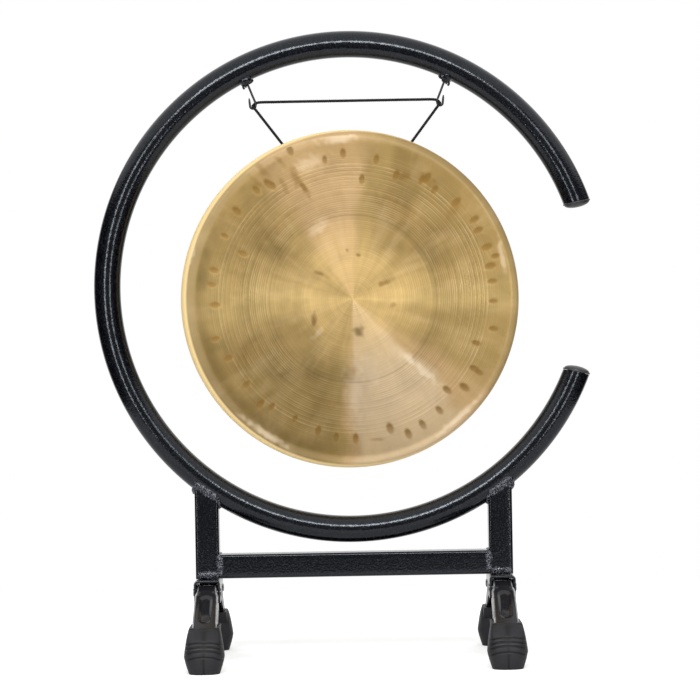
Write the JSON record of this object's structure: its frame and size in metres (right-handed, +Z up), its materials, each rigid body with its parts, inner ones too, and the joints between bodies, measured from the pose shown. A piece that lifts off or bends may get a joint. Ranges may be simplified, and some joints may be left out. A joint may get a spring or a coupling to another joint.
{
  "type": "gong stand",
  "caption": "Small floor stand for a gong: a C-shaped tube ring on two uprights, folding legs in rubber boots, and a flanged gong hung on a cord from wire hooks.",
  "frame": {"origin": "on the floor, under the middle of the overall width and midway between the front and rear boots", "axes": "+Z up, +X to the right seen from the gong's face, +Y from the gong's face towards its back"},
  "size_m": [0.5238, 0.231, 0.6609],
  "materials": {
    "hammered_paint": "glossy black hammer-texture paint",
    "gloss_paint": "smooth gloss black paint",
    "plug_plastic": "satin dark moulded plastic",
    "boot_rubber": "matte dark grey rubber",
    "pin_steel": "plated steel rivet",
    "hook_steel": "dark steel wire",
    "cord": "braided black cord",
    "gong_bronze": "lathed face with a few hammer marks"
  },
  "bodies": {
    "frame": {"ring_tube": "hammered_paint", "ring_plug_upper": "plug_plastic", "ring_plug_lower": "plug_plastic", "upright_left": "hammered_paint", "upright_right": "hammered_paint", "crossbar": "hammered_paint", "foot_bracket_left": "hammered_paint", "foot_bracket_right": "hammered_paint", "leg_pin_left_front": "pin_steel", "leg_pin_left_rear": "pin_steel", "leg_pin_right_front": "pin_steel", "leg_pin_right_rear": "pin_steel", "hanger_eye_left": "hammered_paint", "hanger_eye_right": "hammered_paint"},
    "leg_left_front": {"leg_left_front": "gloss_paint", "boot_left_front": "boot_rubber"},
    "leg_left_rear": {"leg_left_rear": "gloss_paint", "boot_left_rear": "boot_rubber"},
    "leg_right_front": {"leg_right_front": "gloss_paint", "boot_right_front": "boot_rubber"},
    "leg_right_rear": {"leg_right_rear": "gloss_paint", "boot_right_rear": "boot_rubber"},
    "hanger": {"hanger_hook_left": "hook_steel", "hanger_hook_right": "hook_steel", "gong_cord": "cord"},
    "gong": {"gong": "gong_bronze"}
  },
  "joints": [
    {"name": "fold_left_front", "type": "hinge", "parent": "frame", "child": "leg_left_front", "pos_m": [-0.14693, -0.025, 0.0749], "axis": [1, 0, 0], "range_deg": [0, 50]},
    {"name": "fold_left_rear", "type": "hinge", "parent": "frame", "child": "leg_left_rear", "pos_m": [-0.14693, 0.025, 0.0749], "axis": [1, 0, 0], "range_deg": [-50, 0]},
    {"name": "fold_right_front", "type": "hinge", "parent": "frame", "child": "leg_right_front", "pos_m": [0.16107, -0.025, 0.0749], "axis": [1, 0, 0], "range_deg": [0, 50]},
    {"name": "fold_right_rear", "type": "hinge", "parent": "frame", "child": "leg_right_rear", "pos_m": [0.16107, 0.025, 0.0749], "axis": [1, 0, 0], "range_deg": [-50, 0]},
    {"name": "hanger_swing", "type": "hinge", "parent": "frame", "child": "hanger", "pos_m": [0.00707, 0, 0.60417], "axis": [1, 0, 0], "range_deg": [-25, 25]},
    {"name": "gong_swing", "type": "hinge", "parent": "hanger", "child": "gong", "pos_m": [0.00707, 0, 0.54238], "axis": [1, 0, 0], "range_deg": [-10, 10]}
  ]
}
